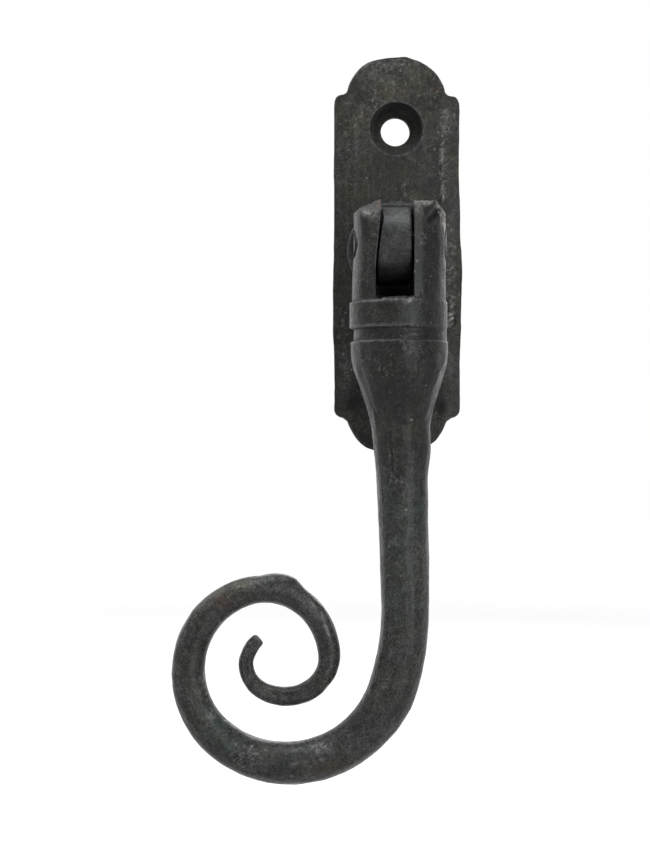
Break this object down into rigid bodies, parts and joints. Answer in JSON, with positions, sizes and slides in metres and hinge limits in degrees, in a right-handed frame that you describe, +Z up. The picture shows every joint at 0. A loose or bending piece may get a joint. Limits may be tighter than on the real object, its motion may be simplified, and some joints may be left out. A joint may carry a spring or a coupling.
{
  "type": "monkey tail espagnolette",
  "caption": "Hinged window handle of forged iron: a scroll-tailed lever on a swivel in an arched backplate, with a square spindle behind.",
  "frame": {"origin": "on the spindle's axis in the back face of the plate, midway between the two fixing holes", "axes": "+Z up along the plate, +X to the right as seen from the room, +Y along the spindle into the window, the room is towards -Y"},
  "size_m": [0.0496, 0.0532, 0.125],
  "materials": {
    "plate_iron": "blackened and waxed forged iron",
    "handle_iron": "blackened and waxed forged iron",
    "swivel_iron": "blackened and waxed forged iron, worn smooth",
    "pin_iron": "blackened, ends peened over",
    "spindle_steel": "bright zinc plated",
    "pin_steel": "plain steel",
    "spring_steel": "dark phosphated spring steel"
  },
  "bodies": {
    "plate": {"backplate": "plate_iron", "spring_washer": "spring_steel"},
    "turn": {"swivel": "swivel_iron", "spindle": "spindle_steel", "spindle_pin": "pin_steel", "circlip": "spring_steel"},
    "lever": {"monkey_tail_handle": "handle_iron", "hinge_pin": "pin_iron"}
  },
  "joints": [
    {"name": "spindle_turn", "type": "hinge", "parent": "plate", "child": "turn", "pos_m": [0, 0, 0], "axis": [0, -1, 0], "range_deg": [-90, 90]},
    {"name": "handle_lift", "type": "hinge", "parent": "turn", "child": "lever", "pos_m": [0, -0.015, 0], "axis": [-1, 0, 0], "range_deg": [0, 90]}
  ]
}
